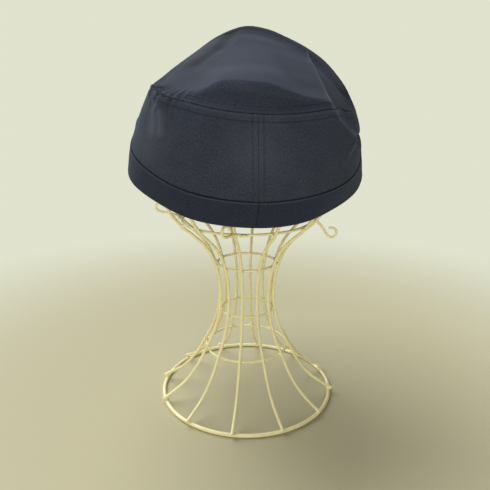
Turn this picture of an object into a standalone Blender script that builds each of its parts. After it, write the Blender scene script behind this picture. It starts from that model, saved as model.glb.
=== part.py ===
"""Patrol cap resting on a welded wire hat stand.

The cap is four cloth pieces: a round top panel, a side wall, a headband and a peak. It hangs
tipped back on the stand, so its top panel has sunk at both sides, with a sharp fold on one of them.
The stand is twelve bent ribs welded over seven rings, with four small hooks under the cap.

Metres, +Z up. The peak points along -Y and the back of the cap along +Y.
"""

from collections import namedtuple
from math import cos, exp, hypot, pi, radians, sin, sqrt, tan

import bmesh
import bpy
from mathutils import Matrix, Vector

# Cloth
cloth = 0.0015
band_cloth = 0.0020
peak_board = 0.0025
seam_gap = 0.0004
peak_gap = 0.0002

# Cap sizes, in the cap's own frame: hem plane at zero, +Z out of the crown
head_radius = 0.092
band_height = 0.0215
crown_height = 0.079
panel_radius = 0.080
panel_slope = 0.27
panel_rounding = 0.020
rise_width = 0.016

# Folds where the top panel has sunk
right_fold_place = 0.047
right_fold_slope = 0.38
right_fold_rounding = 0.003
left_fold_back = (0.064, 0.033)
left_fold_front = (0.036, -0.051)
left_fold_slope = 0.60
left_fold_rounding = 0.012

# Peak, which reaches forward from under the headband
peak_reach = 0.064
peak_half_turn = 70.0
peak_slope = 21.0
peak_tuck = 0.0012
peak_flare = 0.001

# How the cap sits on the stand, in degrees, and how far its hem's middle is from the stand's axis
tip_back = 20.0
lean_right = 2.5
turn_left = 5.0
cap_aside = 0.0018
cap_behind = 0.0055
rest_gap = 0.0003

# Stand
rib_count = 12
rib_phase = 8.4
rib_wire = 0.0024
ring_wire = 0.0020
base_wire = 0.0030
hook_wire = 0.0020
weld_gap = 0.0003
base_radius = 0.0715
stem_height = 0.152
foot_slope = 28.0
foot_overhang = 0.0012
form_radius = 0.066
form_middle = 0.207
shoulder_rise = 0.016
top_ring_tilt = 12.0
rib_end_tilt = 8.0
hook_size = 0.0192
hook_aside = 4.5
hook_lap = 0.004

# Facets
cap_steps = 60
band_rows = 2
wall_rows = 7
panel_rows = 8
peak_steps = 22
peak_rows = 4
wire_sides = 6

# Turn is in degrees round the upright axis from the cap's back, over the left ear to the peak.

# Out is a share of head_radius, for the headband's lower and upper edge.
BandRow = namedtuple("BandRow", "turn hem_out seam_out")
BAND = [
    BandRow(0, 0.978, 1.030),
    BandRow(25, 0.982, 1.020),
    BandRow(45, 0.948, 0.970),
    BandRow(68, 0.957, 0.927),
    BandRow(90, 0.933, 0.873),
    BandRow(110, 0.973, 0.924),
    BandRow(135, 0.995, 0.973),
    BandRow(180, 1.000, 0.995),
    BandRow(225, 0.995, 0.973),
    BandRow(250, 0.995, 0.951),
    BandRow(270, 0.984, 0.915),
    BandRow(292, 0.957, 0.916),
    BandRow(318, 0.929, 0.973),
    BandRow(338, 0.965, 1.005),
]

# The seam round the top panel: out as a share of panel_radius, up as a share of crown_height.
RimRow = namedtuple("RimRow", "turn out up")
RIM = [
    RimRow(0, 0.944, 0.848),
    RimRow(20, 0.941, 0.848),
    RimRow(35, 0.929, 0.848),
    RimRow(48, 0.945, 0.848),
    RimRow(62, 0.898, 0.842),
    RimRow(75, 0.857, 0.760),
    RimRow(90, 0.850, 0.671),
    RimRow(105, 0.869, 0.639),
    RimRow(120, 0.888, 0.639),
    RimRow(135, 0.950, 0.665),
    RimRow(150, 1.000, 0.766),
    RimRow(165, 1.013, 0.918),
    RimRow(180, 1.025, 1.000),
    RimRow(193, 1.019, 0.990),
    RimRow(205, 1.000, 0.943),
    RimRow(217, 0.987, 0.892),
    RimRow(230, 0.969, 0.829),
    RimRow(245, 0.938, 0.750),
    RimRow(258, 0.919, 0.696),
    RimRow(270, 0.912, 0.658),
    RimRow(285, 0.912, 0.665),
    RimRow(300, 0.925, 0.728),
    RimRow(312, 0.938, 0.785),
    RimRow(323, 0.957, 0.848),
    RimRow(335, 0.945, 0.851),
    RimRow(347, 0.941, 0.848),
]

# The top panel's middle line from front to back: along as a share of panel_radius, up as above.
CrestRow = namedtuple("CrestRow", "along up")
CREST = [
    CrestRow(-1.06, 1.006),
    CrestRow(-0.78, 0.972),
    CrestRow(-0.56, 0.958),
    CrestRow(-0.25, 0.968),
    CrestRow(0.12, 0.981),
    CrestRow(0.50, 0.987),
    CrestRow(0.78, 0.981),
    CrestRow(1.00, 0.949),
]

# Folds in the side wall, each from a to b: up is a share of the wall from the band to the rim,
# width and push are shares of band_height, and push is outward where it is positive.
FoldRow = namedtuple("FoldRow", "turn_a up_a turn_b up_b width push")
WALL_FOLDS = [
    FoldRow(323, 1.00, 300, 0.50, 0.14, 0.06),
    FoldRow(297, 0.42, 268, 0.34, 0.19, -0.13),
    FoldRow(296, 0.34, 306, 0.05, 0.14, 0.05),
    FoldRow(52, 0.95, 58, 0.55, 0.16, -0.05),
    FoldRow(44, 0.93, 48, 0.55, 0.14, -0.04),
]

# How far the side wall swells between the band and the rim, as a share of band_height.
SwellRow = namedtuple("SwellRow", "turn out")
SWELL = [
    SwellRow(0, 0.16),
    SwellRow(50, 0.12),
    SwellRow(90, 0.03),
    SwellRow(130, 0.10),
    SwellRow(180, 0.16),
    SwellRow(235, 0.14),
    SwellRow(285, 0.08),
    SwellRow(325, 0.12),
]

# A rib's middle line above its foot: out as a share of base_radius, up as a share of stem_height,
# and the ring that is welded inside it there.
RibRow = namedtuple("RibRow", "out up ring")
RIB = [
    RibRow(0.908, 0.058, None),
    RibRow(0.760, 0.108, None),
    RibRow(0.618, 0.187, None),
    RibRow(0.508, 0.279, "lower_ring"),
    RibRow(0.400, 0.380, None),
    RibRow(0.333, 0.491, "waist_ring"),
    RibRow(0.317, 0.615, None),
    RibRow(0.367, 0.747, "neck_ring"),
    RibRow(0.475, 0.855, None),
    RibRow(0.625, 0.929, None),
    RibRow(0.745, 0.980, "flare_ring"),
]

# Tilts from the upright of a rib's points on the round head form.
form_tilts = [90, 73, 58, 43, 27]

# A hook's middle line from its ring outward: out and up as shares of hook_size.
HookRow = namedtuple("HookRow", "out up")
HOOK = [
    HookRow(0.00, 0.00),
    HookRow(0.12, -0.08),
    HookRow(0.38, -0.42),
    HookRow(0.56, -0.70),
    HookRow(0.70, -0.78),
    HookRow(0.83, -0.74),
    HookRow(0.91, -0.60),
    HookRow(0.87, -0.46),
    HookRow(0.74, -0.38),
    HookRow(0.60, -0.38),
]

# The rib that each hook stands beside, how far it swings sideways and how far it is bent up.
HookPlace = namedtuple("HookPlace", "name rib swing bend")
HOOKS = [
    HookPlace("hook_1", 0, 35, 60),
    HookPlace("hook_2", 3, 0, 68),
    HookPlace("hook_3", 6, 0, 30),
    HookPlace("hook_4", 9, 0, 3),
]

navy = (0.028, 0.034, 0.050, 1.0)
dark_navy = (0.022, 0.026, 0.038, 1.0)
cream = (0.70, 0.66, 0.42, 1.0)


def clear_scene():
    for obj in list(bpy.data.objects):
        bpy.data.objects.remove(obj, do_unlink=True)


def new_collection(name):
    collection = bpy.data.collections.new(name)
    bpy.context.scene.collection.children.link(collection)
    return collection


def new_material(name, colour, roughness):
    material = bpy.data.materials.new(name)
    material.use_nodes = True
    shader = material.node_tree.nodes["Principled BSDF"]
    shader.inputs["Base Color"].default_value = colour
    shader.inputs["Roughness"].default_value = roughness
    shader.inputs["Metallic"].default_value = 0.0
    return material


def around(rows, column, turn):
    """A column of a table read at any turn, on a smooth curve through its rows and round again."""
    turn = turn % 360
    count = len(rows)
    first = max(i for i in range(count) if rows[i].turn <= turn)
    before, here, after, beyond = (rows[(first + k) % count] for k in (-1, 0, 1, 2))
    span_before = (here.turn - before.turn) % 360
    span = (after.turn - here.turn) % 360
    span_after = (beyond.turn - after.turn) % 360
    v0, v1, v2, v3 = (getattr(row, column) for row in (before, here, after, beyond))
    lean_here = (v2 - v0) / (span_before + span) * span
    lean_after = (v3 - v1) / (span + span_after) * span
    t = (turn - here.turn) / span
    return (
        (2 * t**3 - 3 * t**2 + 1) * v1
        + (t**3 - 2 * t**2 + t) * lean_here
        + (3 * t**2 - 2 * t**3) * v2
        + (t**3 - t**2) * lean_after
    )


def at_turn(turn, out, up):
    return Vector((out * sin(radians(turn)), out * cos(radians(turn)), up))


def ramp(distance, rounding):
    """Zero before a fold and the distance beyond it, with a rounded change between."""
    return 0.5 * (distance + sqrt(distance**2 + rounding**2))


def hem_point(turn):
    return at_turn(turn, head_radius * around(BAND, "hem_out", turn), 0.0)


def seam_point(turn):
    return at_turn(turn, head_radius * around(BAND, "seam_out", turn), band_height)


def rim_point(turn):
    out = panel_radius * around(RIM, "out", turn)
    return at_turn(turn, out, crown_height * around(RIM, "up", turn))


def band_point(turn, share):
    return hem_point(turn).lerp(seam_point(turn), share)


def fold_push(turn, share):
    """How far the folds push the wall outward, by the distance from each fold's line."""
    degree = radians(1) * head_radius
    wall = crown_height - band_height
    push = 0.0
    for fold in WALL_FOLDS:
        start = Vector((fold.turn_a * degree, fold.up_a * wall))
        line = Vector((fold.turn_b * degree, fold.up_b * wall)) - start
        place = Vector((turn * degree, share * wall)) - start
        along = min(1.0, max(0.0, place.dot(line) / line.length_squared))
        distance = (place - line * along).length
        push += fold.push * band_height * exp(-((distance / (fold.width * band_height)) ** 2))
    return push


def wall_point(turn, share):
    swell = band_height * around(SWELL, "out", turn) * sin(pi * share)
    point = seam_point(turn).lerp(rim_point(turn), share)
    return point + at_turn(turn, swell + fold_push(turn, share), 0.0)


def crest_up(y):
    """Height of the top panel's middle line."""
    along = min(CREST[-1].along, max(CREST[0].along, y / panel_radius))
    low, high = next(pair for pair in zip(CREST, CREST[1:]) if along <= pair[1].along)
    share = (along - low.along) / (high.along - low.along)
    return crown_height * (low.up + (high.up - low.up) * (3 - 2 * share) * share**2)


def sunk_panel(x, y):
    """Height of the top panel away from its rim: a soft ridge that falls away beyond two folds."""
    up = crest_up(y) - panel_slope * (hypot(x, panel_rounding) - panel_rounding)
    up -= right_fold_slope * ramp(-x - right_fold_place, right_fold_rounding)
    back = Vector(left_fold_back)
    line = back - Vector(left_fold_front)
    beyond = (Vector((x, y)) - back).dot(Vector((line.y, -line.x)).normalized())
    return up - left_fold_slope * ramp(beyond, left_fold_rounding)


def panel_point(turn, share):
    """A point of the top panel, share being 0 at its rim and 1 in its middle."""
    rim = rim_point(turn)
    point = rim * (1 - share)
    inward = share * rim.xy.length
    rise = 1 - max(0.0, 1 - inward / rise_width) ** 2
    point.z = rim.z + (sunk_panel(point.x, point.y) - rim.z) * rise
    return point


def cap_matrix():
    """The cap's place: tipped back, with its top panel lowered until it rests on the head form."""
    turned = (
        Matrix.Rotation(radians(turn_left), 4, "Z")
        @ Matrix.Rotation(radians(-lean_right), 4, "Y")
        @ Matrix.Rotation(radians(-tip_back), 4, "X")
    )
    hem_middle = Vector((cap_aside, cap_behind, form_middle))
    for _ in range(3):
        placed = Matrix.Translation(hem_middle) @ turned
        to_cap = placed.inverted()
        room = 1.0
        for tilt in range(0, 60, 4):
            for turn in range(0, 360, 15):
                across = at_turn(turn, sin(radians(tilt)), cos(radians(tilt)))
                touch = to_cap @ (Vector((0, 0, form_middle)) + form_radius * across)
                room = min(room, sunk_panel(touch.x, touch.y) - touch.z)
        hem_middle.z += (cloth + rest_gap - room) / turned[2][2]
    return Matrix.Translation(hem_middle) @ turned


def new_object(name, data, collection, material, parent):
    obj = bpy.data.objects.new(name, data)
    if not data.materials:
        data.materials.append(material)
    collection.objects.link(obj)
    obj.parent = parent
    return obj


def mesh_from(name, bm):
    bmesh.ops.recalc_face_normals(bm, faces=bm.faces)
    mesh = bpy.data.meshes.new(name)
    bm.to_mesh(mesh)
    bm.free()
    mesh.shade_smooth()
    mesh.set_sharp_from_angle(angle=radians(40))
    return mesh


def cap_rows():
    """The cap's outer skin as rows of points, from the hem up to the middle of the top panel."""
    turns = [360 * i / cap_steps for i in range(cap_steps)]
    rows = [[band_point(t, k / band_rows) for t in turns] for k in range(band_rows)]
    rows += [[wall_point(t, k / wall_rows) for t in turns] for k in range(wall_rows)]
    rows += [[panel_point(t, k / panel_rows) for t in turns] for k in range(panel_rows)]
    return rows, panel_point(0, 1.0)


def skin_normals(rows, top):
    """The outward direction at each point of the skin, so that neighbouring pieces meet in a mitre."""
    bm = bmesh.new()
    made = [[bm.verts.new(point) for point in row] for row in rows]
    peak = bm.verts.new(top)
    for low, high in zip(made, made[1:]):
        for i in range(cap_steps):
            j = (i + 1) % cap_steps
            bm.faces.new((low[j], low[i], high[i], high[j]))
    for i in range(cap_steps):
        bm.faces.new((made[-1][(i + 1) % cap_steps], made[-1][i], peak))
    bm.normal_update()
    normals = [[vert.normal.copy() for vert in row] for row in made]
    bm.free()
    return normals


def drawn_in(points, toward):
    """Points moved half a seam gap toward their neighbours inside the same piece."""
    return [p + (q - p).normalized() * seam_gap / 2 for p, q in zip(points, toward)]


def strip_solid(name, rows, normals, thickness):
    """A band of cloth round the head whose two ends meet at the centre back."""
    lining = [
        [p - n * thickness for p, n in zip(row, lean)] for row, lean in zip(rows, normals)
    ]
    bm = bmesh.new()
    skins = []
    for skin in (rows, lining):
        skin = [row + [row[0]] for row in skin]
        skin[0] = drawn_in(skin[0], skin[1])
        skin[-1] = drawn_in(skin[-1], skin[-2])
        for row in skin:
            row[0] = drawn_in([row[0]], [row[1]])[0]
            row[-1] = drawn_in([row[-1]], [row[-2]])[0]
        skins.append([[bm.verts.new(point) for point in row] for row in skin])
    outer, inner = skins
    for skin in skins:
        for low, high in zip(skin, skin[1:]):
            for i in range(cap_steps):
                bm.faces.new((low[i], low[i + 1], high[i + 1], high[i]))
    for k in (0, -1):
        for i in range(cap_steps):
            bm.faces.new((outer[k][i], outer[k][i + 1], inner[k][i + 1], inner[k][i]))
        for j in range(len(rows) - 1):
            bm.faces.new((outer[j][k], outer[j + 1][k], inner[j + 1][k], inner[j][k]))
    return mesh_from(name, bm)


def panel_solid(name, rows, normals, top):
    """The round top panel, closed over the middle."""
    bm = bmesh.new()
    inner = [[p - n * cloth for p, n in zip(row, lean)] for row, lean in zip(rows, normals)]
    skins = []
    for skin, middle in ((rows, top), (inner, top - Vector((0, 0, cloth)))):
        skin[0] = drawn_in(skin[0], skin[1])
        made = [[bm.verts.new(point) for point in row] for row in skin]
        centre = bm.verts.new(middle)
        for i in range(cap_steps):
            j = (i + 1) % cap_steps
            for low, high in zip(made, made[1:]):
                bm.faces.new((low[i], low[j], high[j], high[i]))
            bm.faces.new((made[-1][i], made[-1][j], centre))
        skins.append(made)
    for i in range(cap_steps):
        j = (i + 1) % cap_steps
        bm.faces.new((skins[0][0][i], skins[0][0][j], skins[1][0][j], skins[1][0][i]))
    return mesh_from(name, bm)


def peak_mesh(name):
    """The peak's upper face: from just under the hem out to an oval edge."""
    bm = bmesh.new()
    rows = []
    half_width = head_radius * sin(radians(peak_half_turn)) + peak_flare
    ends = head_radius * cos(radians(peak_half_turn))
    reach = head_radius + peak_reach - ends
    for k in range(peak_rows + 1):
        row = []
        for i in range(peak_steps + 1):
            across = 2 * i / peak_steps - 1
            root = hem_point(180 + across * peak_half_turn)
            root -= root.normalized() * peak_tuck
            swing = across * pi / 2
            edge = Vector((-half_width * sin(swing), -ends - reach * cos(swing), 0.0))
            point = root.lerp(edge, k / peak_rows)
            point.z = -peak_gap - (point - root).length * tan(radians(peak_slope))
            row.append(bm.verts.new(point))
        rows.append(row)
    for low, high in zip(rows, rows[1:]):
        for i in range(peak_steps):
            bm.faces.new((low[i], low[i + 1], high[i + 1], high[i]))
    bm.normal_update()
    if next(iter(bm.faces)).normal.z < 0:
        bmesh.ops.reverse_faces(bm, faces=bm.faces)
    mesh = bpy.data.meshes.new(name)
    bm.to_mesh(mesh)
    bm.free()
    return mesh


def build_cap(collection, root):
    holder = bpy.data.objects.new("cap_place", None)
    holder.parent = root
    holder.matrix_local = cap_matrix()
    collection.objects.link(holder)
    cloth_material = new_material("navy_twill", navy, 0.85)
    band_material = new_material("band_twill", dark_navy, 0.85)

    rows, top = cap_rows()
    normals = skin_normals(rows, top)
    seam = band_rows
    rim = band_rows + wall_rows
    band = strip_solid("band", rows[: seam + 1], normals[: seam + 1], band_cloth)
    wall = strip_solid("crown_side", rows[seam : rim + 1], normals[seam : rim + 1], cloth)
    panel = panel_solid("crown_top", rows[rim:], normals[rim:], top)
    new_object("band", band, collection, band_material, holder)
    new_object("crown_side", wall, collection, cloth_material, holder)
    new_object("crown_top", panel, collection, cloth_material, holder)

    peak = new_object("peak", peak_mesh("peak"), collection, cloth_material, holder)
    board = peak.modifiers.new("board thickness", "SOLIDIFY")
    board.thickness = peak_board
    board.offset = -1.0


def rib_path():
    """A rib's middle line as (out, up) points, and where each ring is welded inside it."""
    base_corner = base_wire / 2 / cos(pi / wire_sides)
    slope = radians(foot_slope)
    off = base_corner + weld_gap + rib_wire / 2
    over_base = Vector((base_radius + off * sin(slope), base_wire / 2 + off * cos(slope)))
    foot = over_base + foot_overhang * Vector((cos(slope), -sin(slope)))
    path = [foot, over_base]
    path += [Vector((row.out * base_radius, row.up * stem_height)) for row in RIB]

    bend = form_radius - rib_wire / 2
    path.append(Vector((bend, stem_height + shoulder_rise)))
    form = Vector((0, form_middle))
    for tilt in form_tilts + [top_ring_tilt, rib_end_tilt]:
        path.append(form + bend * Vector((sin(radians(tilt)), cos(radians(tilt)))))

    welds = {"base_ring": Vector((base_radius, base_wire / 2))}
    inset = ring_wire / 2 / cos(pi / wire_sides) + weld_gap + rib_wire / 2
    for k, row in enumerate(RIB, start=2):
        if row.ring:
            along = (path[k + 1] - path[k - 1]).normalized()
            welds[row.ring] = path[k] - inset * Vector((along.y, -along.x))
    welds["form_ring"] = form + Vector((bend - inset, 0))
    tilt = radians(top_ring_tilt)
    welds["top_ring"] = form + (bend - inset) * Vector((sin(tilt), cos(tilt)))
    return path, welds


def wire_curve(name, points, wire, sides):
    """A bent wire with closed ends."""
    curve = bpy.data.curves.new(name, "CURVE")
    curve.dimensions = "3D"
    curve.bevel_depth = wire / 2
    curve.bevel_resolution = (sides - 4) // 2
    curve.use_fill_caps = True
    spline = curve.splines.new("POLY")
    spline.points.add(len(points) - 1)
    for knot, point in zip(spline.points, points):
        knot.co = (*point, 1.0)
    return curve


def ring_mesh(name, centre, wire):
    """One flat-sided section of a ring's wire, resting on its side, for a screw to turn."""
    bm = bmesh.new()
    corner = wire / 2 / cos(pi / wire_sides)
    knots = []
    for i in range(wire_sides):
        turn = -2 * pi * i / wire_sides
        knots.append(bm.verts.new((centre.x + corner * cos(turn), 0.0, centre.y + corner * sin(turn))))
    for i in range(wire_sides):
        bm.edges.new((knots[i], knots[(i + 1) % wire_sides]))
    mesh = bpy.data.meshes.new(name)
    bm.to_mesh(mesh)
    bm.free()
    return mesh


def build_stand(collection, root):
    coating = new_material("cream_coating", cream, 0.45)
    path, welds = rib_path()
    rib = wire_curve("rib", [(0.0, point.x, point.y) for point in path], rib_wire, 8)
    for i in range(rib_count):
        obj = new_object(f"rib_{i + 1:02d}", rib, collection, coating, root)
        obj.rotation_euler.z = -radians(rib_phase + 360 * i / rib_count)

    for name, centre in welds.items():
        wire = base_wire if name == "base_ring" else ring_wire
        ring = new_object(name, ring_mesh(name, centre, wire), collection, coating, root)
        ring.rotation_euler.z = -radians(rib_phase)
        turned = ring.modifiers.new("turned", "SCREW")
        steps_per_gap = 2 if centre.x < base_radius / 2 else 3
        turned.steps = rib_count * steps_per_gap
        turned.render_steps = turned.steps
        turned.use_merge_vertices = True
        turned.merge_threshold = 0.00001

    beside = ring_wire / 2 / cos(pi / wire_sides) + weld_gap + hook_wire / 2
    for place in HOOKS:
        bent = Matrix.Rotation(-radians(place.swing), 3, "Z") @ Matrix.Rotation(radians(place.bend), 3, "X")
        points = [Vector((-hook_lap, 0, 0))]
        points += [bent @ Vector((0, row.out, row.up)) * hook_size for row in HOOK]
        turn = rib_phase + 360 * place.rib / rib_count - hook_aside
        hook = new_object(
            place.name, wire_curve(place.name, points, hook_wire, 6), collection, coating, root
        )
        hook.location = at_turn(turn, welds["flare_ring"].x + beside, welds["flare_ring"].y)
        hook.rotation_euler.z = -radians(turn)


def centre_on_base(root):
    """Moves the whole thing so that the middle of its outer box stands over the origin."""
    bpy.context.view_layer.update()
    graph = bpy.context.evaluated_depsgraph_get()
    corners = []
    for obj in root.children_recursive:
        if obj.type in ("MESH", "CURVE"):
            shown = obj.evaluated_get(graph)
            mesh = shown.to_mesh()
            corners += [shown.matrix_world @ vert.co for vert in mesh.vertices]
            shown.to_mesh_clear()
    low = [min(corner[axis] for corner in corners) for axis in range(3)]
    high = [max(corner[axis] for corner in corners) for axis in range(3)]
    root.location = (-(low[0] + high[0]) / 2, -(low[1] + high[1]) / 2, -low[2])
    bpy.context.view_layer.update()


def main():
    clear_scene()
    collection = new_collection("patrol_cap_on_wire_stand")
    root = bpy.data.objects.new("patrol_cap_on_wire_stand", None)
    collection.objects.link(root)
    build_stand(collection, root)
    build_cap(collection, root)
    centre_on_base(root)


main()
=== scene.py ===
from math import cos, pi, radians, sin, tan

import bmesh
import bpy
import numpy as np
from mathutils import Matrix, Vector, noise


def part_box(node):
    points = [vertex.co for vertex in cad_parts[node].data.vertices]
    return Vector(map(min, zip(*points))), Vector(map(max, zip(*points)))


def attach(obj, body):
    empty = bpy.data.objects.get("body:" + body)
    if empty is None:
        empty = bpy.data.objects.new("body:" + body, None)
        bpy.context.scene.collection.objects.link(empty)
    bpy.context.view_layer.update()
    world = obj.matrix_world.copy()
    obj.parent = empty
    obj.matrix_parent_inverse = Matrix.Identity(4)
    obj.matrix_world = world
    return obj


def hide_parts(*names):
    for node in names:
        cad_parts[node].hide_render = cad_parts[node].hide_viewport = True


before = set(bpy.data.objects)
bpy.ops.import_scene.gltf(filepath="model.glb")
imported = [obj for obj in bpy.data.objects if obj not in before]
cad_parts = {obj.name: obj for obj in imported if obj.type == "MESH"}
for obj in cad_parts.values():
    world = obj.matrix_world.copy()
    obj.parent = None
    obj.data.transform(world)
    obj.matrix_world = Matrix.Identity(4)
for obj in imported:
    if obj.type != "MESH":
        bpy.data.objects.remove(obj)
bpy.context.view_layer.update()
scene = bpy.context.scene


def linkNew(name, data):
    obj = bpy.data.objects.new(name, data)
    scene.collection.objects.link(obj)
    return obj


print("Camera")

# metres from the middle of the stand's base, and degrees down
cameraLook = {"aside": 0.0012, "behind": 0.3823, "height": 0.2398, "lookDown": 16.23, "lens": 36.07}

ringLow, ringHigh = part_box("base_ring")
standMiddle = (ringLow + ringHigh) / 2

camera = linkNew("photoCamera", bpy.data.cameras.new("photoCamera"))
camera.data.sensor_width = 36
camera.data.lens = cameraLook["lens"]
camera.data.clip_start = 0.01
camera.location = (
    standMiddle.x + cameraLook["aside"], standMiddle.y + cameraLook["behind"], cameraLook["height"],
)
camera.rotation_euler = (radians(90 - cameraLook["lookDown"]), 0, radians(180))
scene.camera = camera


print("Cloth and coating")

twill = {
    "colour": (0.0332, 0.0377, 0.0543),
    "paleWearAndHighlight": (0.113, 0.1224, 0.151),  # on worn folds and edges, and for painted highlights and light
    "seamShade": (0.006, 0.0078, 0.0103),  # painted shade in seams and where the cloth lies in shade
    "paler": 1.46, "darker": 0.62,  # how far the yarns differ from the plain colour
    "ribs": 1900, "slant": 63,  # diagonal ribs in a metre of cloth
    "ribUneven": 1.2, "ribShow": 0.28,
    "yarns": (1150, 680, 1),  # uneven places in a metre of yarn, along and up
    "clouds": 90, "cloudSpread": (0.3, 0.7), "mottle": 0.22,  # slow change of shade over the cloth
    "lint": (0.12, 0.13, 0.15), "lintEvery": 0.022,
    "lintSize": (0.022, 0.012), "lintKept": (0.8, 0.95),
    "relief": 0.0001, "ribRelief": 0.55, "yarnRelief": 0.5,
    "roughness": 0.9, "specular": 0.138,
    "sheen": 0.052, "sheenRoughness": 0.45, "sheenTint": (0.62, 0.68, 0.82, 1),
}
crownTint = (1, 1, 1)
bandTint = (0.6, 0.65, 0.765)  # the headband is darker and bluer
thread = {"colour": (0.04, 0.045, 0.059), "roughness": 0.7}
coating = {
    "colour": (0.96, 0.86, 0.455), "duller": 0.92, "grain": 160,
    "roughness": 0.3, "orangePeel": 0.00004, "peelShow": 0.4,
}


def newMaterial(name):
    material = bpy.data.materials.new(name)
    material.use_nodes = True
    nodes = material.node_tree.nodes
    return material, nodes, material.node_tree.links, nodes["Principled BSDF"]


def setInputs(node, values):
    for name, value in values.items():
        node.inputs[name].default_value = value
    return node


def addNode(nodes, kind, values):
    return setInputs(nodes.new("ShaderNode" + kind), values)


def mixColours(nodes, links, factor, first, second):
    mix = nodes.new("ShaderNodeMix")
    mix.data_type = "RGBA"
    for name, value in (("Factor", factor), ("A", first), ("B", second)):
        socket = mix.inputs[name]
        if isinstance(value, bpy.types.NodeSocket):
            links.new(value, socket)
        else:
            socket.default_value = value if isinstance(value, float) else (*value, 1)
    return mix.outputs["Result"]


def rampOf(nodes, links, source, low=0.35, high=0.65):
    # the pattern between low and high, spread from 0 to 1
    ramp = addNode(nodes, "MapRange", {"From Min": low, "From Max": high})
    links.new(source, ramp.inputs["Value"])
    return ramp.outputs["Result"]


def addRelief(nodes, links, height, strength, distance, under=None):
    relief = addNode(nodes, "Bump", {"Strength": strength, "Distance": distance})
    links.new(height, relief.inputs["Height"])
    if under:
        links.new(under, relief.inputs["Normal"])
    return relief.outputs["Normal"]


def addLint(nodes, links, place, base):
    # a few pale specks caught in the cloth
    specks = addNode(nodes, "TexVoronoi", {"Scale": 1 / twill["lintEvery"]})
    links.new(place, specks.inputs["Vector"])
    chance = nodes.new("ShaderNodeSeparateColor")
    links.new(specks.outputs["Color"], chance.inputs["Color"])
    kept = nodes.new("ShaderNodeMath")
    kept.operation = "MULTIPLY"
    links.new(rampOf(nodes, links, specks.outputs["Distance"], *twill["lintSize"]), kept.inputs[0])
    links.new(rampOf(nodes, links, chance.outputs["Red"], *twill["lintKept"]), kept.inputs[1])
    return mixColours(nodes, links, kept.outputs["Value"], base, twill["lint"])


def makeTwill(name, tint):
    material, nodes, links, shader = newMaterial(name)
    layout = nodes.new("ShaderNodeUVMap")
    layout.uv_map = "cloth"
    place = layout.outputs["UV"]
    turned = addNode(nodes, "Mapping", {"Rotation": (0, 0, radians(twill["slant"]))})
    ribs = addNode(nodes, "TexWave", {
        "Scale": twill["ribs"] / (2 * pi), "Distortion": twill["ribUneven"],
        "Detail": 2, "Detail Scale": 2,
    })
    spread = addNode(nodes, "Mapping", {"Scale": twill["yarns"]})
    yarns = addNode(nodes, "TexNoise", {"Scale": 1, "Detail": 3})
    clouds = addNode(nodes, "TexNoise", {"Scale": twill["clouds"], "Detail": 6})
    for source, node in (
        (place, turned), (turned.outputs["Vector"], ribs),
        (place, spread), (spread.outputs["Vector"], yarns), (place, clouds),
    ):
        links.new(source, node.inputs["Vector"])

    plain = [channel * part for channel, part in zip(twill["colour"], tint)]
    light = [channel * twill["paler"] for channel in plain]
    dark = [channel * twill["darker"] for channel in plain]
    base = mixColours(nodes, links, rampOf(nodes, links, yarns.outputs["Fac"]), dark, light)
    ribColour = mixColours(nodes, links, ribs.outputs["Fac"], light, dark)
    base = mixColours(nodes, links, twill["ribShow"], base, ribColour)
    cloudy = rampOf(nodes, links, clouds.outputs["Fac"], *twill["cloudSpread"])
    cloudColour = mixColours(nodes, links, cloudy, dark, light)
    base = mixColours(nodes, links, twill["mottle"], base, cloudColour)
    base = addLint(nodes, links, place, base)
    # pale for wear and for painted highlights and light, dark for painted shade
    for label, colour in (("wearAndHighlight", twill["paleWearAndHighlight"]), ("paintedShade", twill["seamShade"])):
        painted = nodes.new("ShaderNodeAttribute")
        painted.attribute_name = label
        base = mixColours(nodes, links, painted.outputs["Fac"], base, colour)
    links.new(base, shader.inputs["Base Color"])

    relief = addRelief(nodes, links, ribs.outputs["Fac"], twill["ribRelief"], twill["relief"])
    relief = addRelief(nodes, links, yarns.outputs["Fac"], twill["yarnRelief"], twill["relief"], relief)
    links.new(relief, shader.inputs["Normal"])
    setInputs(shader, {
        "Roughness": twill["roughness"], "Specular IOR Level": twill["specular"],
        "Sheen Weight": twill["sheen"], "Sheen Roughness": twill["sheenRoughness"],
        "Sheen Tint": twill["sheenTint"],
    })
    return material


def makeThread():
    material, *_, shader = newMaterial("sewingThread")
    setInputs(shader, {"Base Color": (*thread["colour"], 1), "Roughness": thread["roughness"]})
    return material


def makeCoating():
    # the coating is a little uneven in shade and surface
    material, nodes, links, shader = newMaterial("creamCoating")
    grain = addNode(nodes, "TexNoise", {"Scale": coating["grain"], "Detail": 3})
    links.new(nodes.new("ShaderNodeTexCoord").outputs["Object"], grain.inputs["Vector"])
    light = coating["colour"]
    dull = [channel * coating["duller"] for channel in light]
    shade = rampOf(nodes, links, grain.outputs["Fac"])
    links.new(mixColours(nodes, links, shade, dull, light), shader.inputs["Base Color"])
    peel = addRelief(nodes, links, grain.outputs["Fac"], coating["peelShow"], coating["orangePeel"])
    links.new(peel, shader.inputs["Normal"])
    setInputs(shader, {"Roughness": coating["roughness"]})
    return material


crownTwill = makeTwill("crownTwill", crownTint)
bandTwill = makeTwill("bandTwill", bandTint)
sewingThread = makeThread()
creamCoating = makeCoating()


print("Cap shape")

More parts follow.
